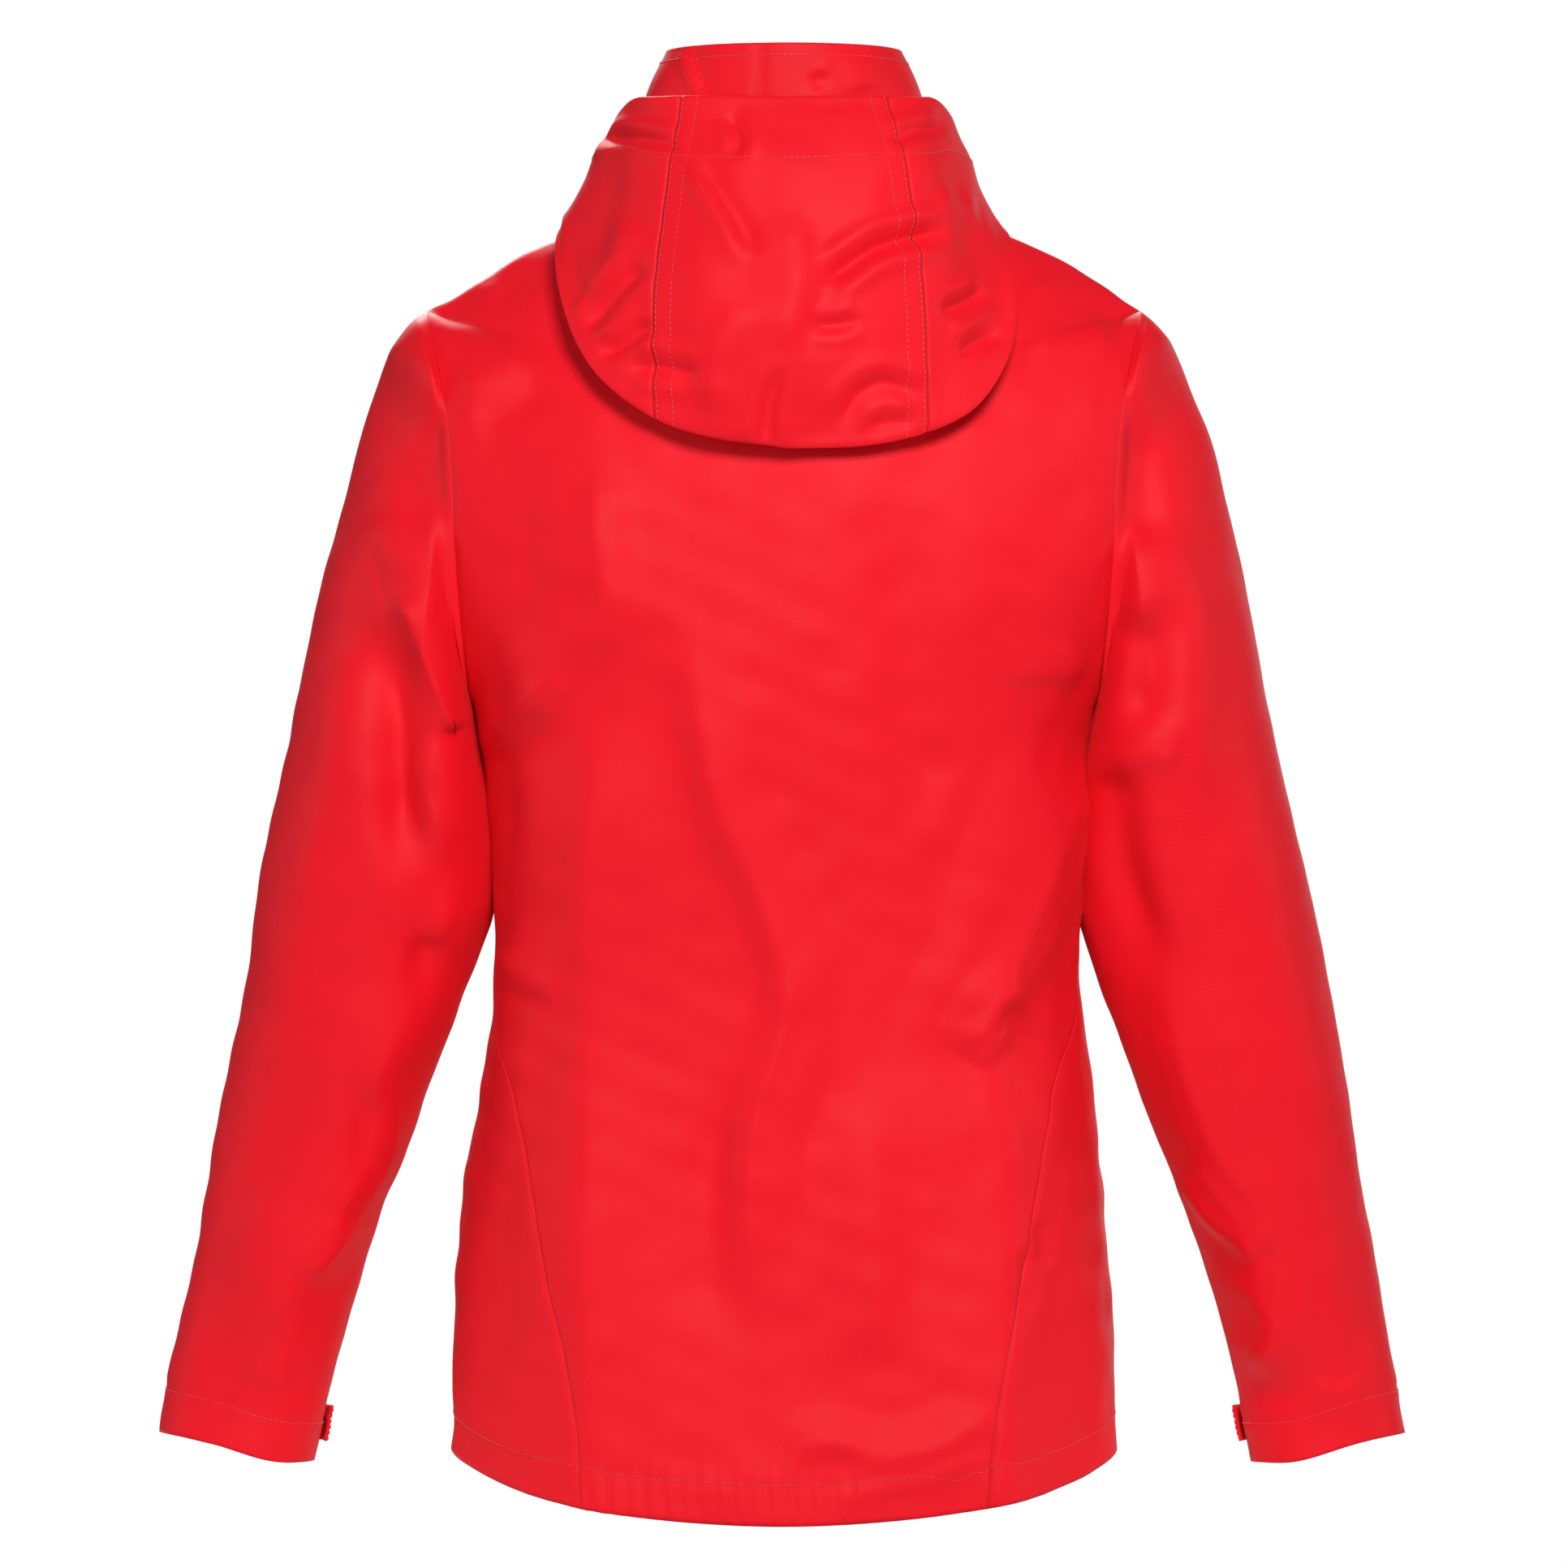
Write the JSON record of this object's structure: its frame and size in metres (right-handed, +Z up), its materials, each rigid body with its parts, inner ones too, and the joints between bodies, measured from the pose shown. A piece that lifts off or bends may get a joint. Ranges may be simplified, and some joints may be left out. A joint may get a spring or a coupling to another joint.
{
  "type": "hooded hardshell jacket",
  "caption": "Waterproof zip-up outer jacket with stand collar, hood hanging down the back, side panels, cuff tabs, hand pockets and a hem that drops at the back.",
  "frame": {"origin": "the centre of the back neck seam, where the hanger loop is sewn in", "axes": "+Z up, the front of the jacket faces -Y, the wearer's left is +X"},
  "size_m": [0.662, 0.2753, 0.79],
  "materials": {
    "shell_fabric": "matt fine woven polyester",
    "lining": "soft mesh lining",
    "ribbon": "woven ribbon",
    "zip_tape": "woven zip tape",
    "teeth": "moulded plastic",
    "slider_metal": "dark lacquered die casting",
    "puller": "moulded grip",
    "hook_loop": "hook and loop pile"
  },
  "bodies": {
    "torso": {"back_panel": "shell_fabric", "side_panel_left": "shell_fabric", "side_panel_right": "shell_fabric", "front_panel_left": "shell_fabric", "front_panel_right": "shell_fabric", "collar_outer": "shell_fabric", "collar_lining": "lining", "chin_guard": "lining", "hanger_loop": "ribbon", "body_lining": "lining", "hem_facing": "shell_fabric", "storm_flap": "shell_fabric", "front_tape_left": "zip_tape", "front_tape_right": "zip_tape", "front_teeth_left": "teeth", "front_teeth_right": "teeth", "zip_top_stops": "slider_metal", "zip_bottom_box": "teeth", "pocket_welt_left": "shell_fabric", "pocket_welt_right": "shell_fabric", "pocket_zip_left": "zip_tape", "pocket_zip_right": "zip_tape", "pocket_bag_left": "lining", "pocket_bag_right": "lining"},
    "left_sleeve": {"sleeve_left": "shell_fabric", "cuff_facing_left": "shell_fabric", "loop_patch_left": "hook_loop"},
    "right_sleeve": {"sleeve_right": "shell_fabric", "cuff_facing_right": "shell_fabric", "loop_patch_right": "hook_loop"},
    "left_tab": {"cuff_tab_left": "shell_fabric", "hook_patch_left": "hook_loop"},
    "right_tab": {"cuff_tab_right": "shell_fabric", "hook_patch_right": "hook_loop"},
    "hood": {"hood_centre_panel": "shell_fabric", "hood_left_panel": "shell_fabric", "hood_right_panel": "shell_fabric", "hood_nape_panel": "shell_fabric", "hood_brim_facing": "shell_fabric"},
    "zip_slider": {"front_slider": "slider_metal"},
    "zip_puller": {"front_puller": "puller"},
    "left_pocket_slider": {"pocket_slider_left": "slider_metal"},
    "left_pocket_puller": {"pocket_puller_left": "puller"},
    "right_pocket_slider": {"pocket_slider_right": "slider_metal"},
    "right_pocket_puller": {"pocket_puller_right": "puller"}
  },
  "joints": [
    {"name": "left_sleeve_swing", "type": "hinge", "parent": "torso", "child": "left_sleeve", "pos_m": [0.192, -0.065, -0.066], "axis": [0, -1, 0], "range_deg": [0, 60]},
    {"name": "right_sleeve_swing", "type": "hinge", "parent": "torso", "child": "right_sleeve", "pos_m": [-0.192, -0.065, -0.066], "axis": [0, 1, 0], "range_deg": [0, 60]},
    {"name": "hood_lift", "type": "hinge", "parent": "torso", "child": "hood", "pos_m": [0, -0.14, -0.05], "axis": [1, 0, 0], "range_deg": [0, 75]},
    {"name": "front_zip_slide", "type": "slide", "parent": "torso", "child": "zip_slider", "axis": [0, -0.0746, -0.9972], "range_m": [0, 0.67]},
    {"name": "front_puller_swing", "type": "hinge", "parent": "zip_slider", "child": "zip_puller", "pos_m": [0, -0.15649, 0.01622], "axis": [-1, 0, 0], "range_deg": [0, 150]},
    {"name": "left_cuff_tab_peel", "type": "hinge", "parent": "left_sleeve", "child": "left_tab", "pos_m": [0.24022, -0.09443, -0.65694], "axis": [0.196, -0.0219, -0.9804], "range_deg": [0, 110]},
    {"name": "right_cuff_tab_peel", "type": "hinge", "parent": "right_sleeve", "child": "right_tab", "pos_m": [-0.24022, -0.09443, -0.65694], "axis": [0.196, 0.0219, 0.9804], "range_deg": [0, 110]},
    {"name": "left_pocket_zip_slide", "type": "slide", "parent": "torso", "child": "left_pocket_slider", "axis": [0.1762, 0.0213, -0.9841], "range_m": [0, 0.15]},
    {"name": "left_pocket_puller_swing", "type": "hinge", "parent": "left_pocket_slider", "child": "left_pocket_puller", "pos_m": [0.10068, -0.17549, -0.48352], "axis": [-0.8256, -0.5413, -0.1595], "range_deg": [0, 120]},
    {"name": "right_pocket_zip_slide", "type": "slide", "parent": "torso", "child": "right_pocket_slider", "axis": [-0.1762, 0.0213, -0.9841], "range_m": [0, 0.15]},
    {"name": "right_pocket_puller_swing", "type": "hinge", "parent": "right_pocket_slider", "child": "right_pocket_puller", "pos_m": [-0.10068, -0.17549, -0.48352], "axis": [-0.8256, 0.5413, 0.1595], "range_deg": [0, 120]}
  ]
}
